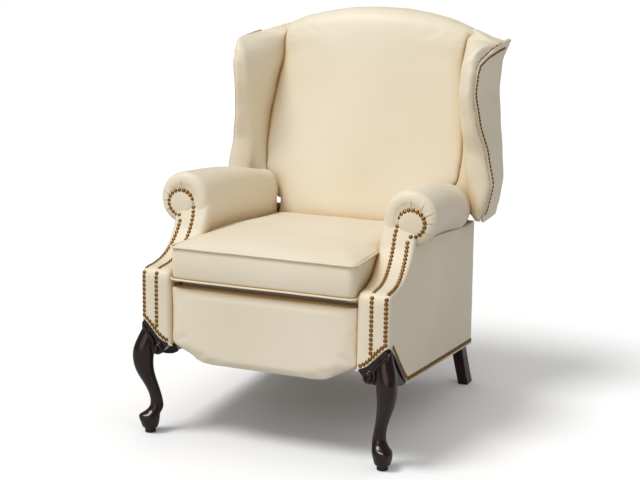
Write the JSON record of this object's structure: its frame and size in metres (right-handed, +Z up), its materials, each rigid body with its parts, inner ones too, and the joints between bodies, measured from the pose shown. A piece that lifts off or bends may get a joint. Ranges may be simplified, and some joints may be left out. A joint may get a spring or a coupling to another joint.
{
  "type": "wing recliner",
  "caption": "Leather wing recliner with scroll arms, carved cabriole front legs, nailhead trim, a loose seat cushion, a push-back reclining back and a fold-out footrest.",
  "frame": {"origin": "floor level at the middle of the chair's bounding box", "axes": "+X to the sitter's left, +Y to the rear (the chair faces -Y), +Z up"},
  "size_m": [0.8078, 0.8699, 1.0919],
  "materials": {
    "leather": "smooth ivory leather with a soft sheen, slightly tanned in the creases",
    "frame_wood": "plain sawn hardwood, unfinished",
    "leg_wood": "dark mahogany with a high gloss lacquer",
    "antique_brass": "antique brass, darkened and lightly polished",
    "linkage_steel": "black enamelled pressed steel",
    "spring_steel": "oil tempered wire",
    "glide_plastic": "dark brown moulded glide",
    "deck_cloth": "plain woven deck cloth"
  },
  "bodies": {
    "base": {"arm_facing_left": "leather", "arm_facing_right": "leather", "arm_pad_left": "leather", "arm_pad_right": "leather", "outside_arm_left": "leather", "outside_arm_right": "leather", "front_posts": "frame_wood", "rear_posts": "frame_wood", "rear_facings": "leather", "arm_rails": "frame_wood", "bottom_rails": "frame_wood", "seat_support_rails": "frame_wood", "inside_arm_panels": "leather", "rear_cross_rail": "frame_wood", "middle_cross_rail": "frame_wood", "back_apron": "frame_wood", "front_leg_left": "leg_wood", "front_leg_right": "leg_wood", "rear_leg_left": "leg_wood", "rear_leg_right": "leg_wood", "leg_glides": "glide_plastic", "arm_nailheads_left": "antique_brass", "arm_nailheads_right": "antique_brass", "base_welts": "leather", "glide_channels": "linkage_steel", "leg_bolts": "linkage_steel"},
    "seat": {"seat_side_rails": "frame_wood", "seat_front_rail": "frame_wood", "seat_rear_rail": "frame_wood", "seat_springs": "spring_steel", "seat_deck": "deck_cloth", "deck_nosing": "leather", "seat_cushion": "leather", "cushion_welts": "leather", "mechanism_plates": "linkage_steel", "glide_bars": "linkage_steel"},
    "back": {"back_stiles": "frame_wood", "back_top_rail": "frame_wood", "back_bottom_rail": "frame_wood", "back_springs": "spring_steel", "back_cushion": "leather", "outside_back": "leather", "wing_pad_left": "leather", "wing_pad_right": "leather", "wing_board_left": "frame_wood", "wing_board_right": "frame_wood", "wing_panel_left": "leather", "wing_panel_right": "leather", "wing_nailheads": "antique_brass", "wing_welts": "leather", "back_brackets": "linkage_steel"},
    "front_links": {"front_link_frame": "linkage_steel"},
    "rear_link_l": {"rear_link_left": "linkage_steel"},
    "rear_link_r": {"rear_link_right": "linkage_steel"},
    "carrier": {"carrier_frame": "linkage_steel"},
    "stay_left": {"stay_link_left": "linkage_steel"},
    "stay_right": {"stay_link_right": "linkage_steel"},
    "footrest": {"footrest_pad": "leather", "footrest_board": "frame_wood", "footrest_brackets": "linkage_steel"}
  },
  "joints": [
    {"name": "back_recline", "type": "hinge", "parent": "seat", "child": "back", "pos_m": [0, 0.225, 0.36], "axis": [-1, 0, 0], "range_deg": [0, 30]},
    {"name": "seat_glide", "type": "slide", "parent": "base", "child": "seat", "axis": [0, -1, 0], "range_m": [0, 0.06]},
    {"name": "footrest_open", "type": "hinge", "parent": "seat", "child": "front_links", "pos_m": [0, -0.25, 0.35], "axis": [-1, 0, 0], "range_deg": [0, 90]},
    {"name": "rear_link_left_turn", "type": "hinge", "parent": "seat", "child": "rear_link_l", "pos_m": [0.227, -0.19, 0.35], "axis": [-1, 0, 0], "range_deg": [0, 90]},
    {"name": "rear_link_right_turn", "type": "hinge", "parent": "seat", "child": "rear_link_r", "pos_m": [-0.227, -0.19, 0.35], "axis": [-1, 0, 0], "range_deg": [0, 90]},
    {"name": "carrier_turn", "type": "hinge", "parent": "front_links", "child": "carrier", "pos_m": [0, -0.14962, 0.20665], "axis": [1, 0, 0], "range_deg": [0, 90]},
    {"name": "stay_left_turn", "type": "hinge", "parent": "front_links", "child": "stay_left", "pos_m": [0.2307, -0.17662, 0.25341], "axis": [1, 0, 0], "range_deg": [0, 90]},
    {"name": "stay_right_turn", "type": "hinge", "parent": "front_links", "child": "stay_right", "pos_m": [-0.2307, -0.17662, 0.25341], "axis": [1, 0, 0], "range_deg": [0, 90]},
    {"name": "footrest_tilt", "type": "hinge", "parent": "carrier", "child": "footrest", "pos_m": [0, -0.31, 0.305], "axis": [-1, 0, 0], "range_deg": [0, 90]}
  ],
  "couplings": [
    {"joint": "seat_glide", "follows": "back_recline", "m_per_rad": 0.11459},
    {"joint": "rear_link_left_turn", "follows": "footrest_open", "ratio": 1},
    {"joint": "rear_link_right_turn", "follows": "footrest_open", "ratio": 1},
    {"joint": "carrier_turn", "follows": "footrest_open", "ratio": 1},
    {"joint": "stay_left_turn", "follows": "footrest_open", "ratio": 1},
    {"joint": "stay_right_turn", "follows": "footrest_open", "ratio": 1},
    {"joint": "footrest_tilt", "follows": "footrest_open", "ratio": 1}
  ]
}
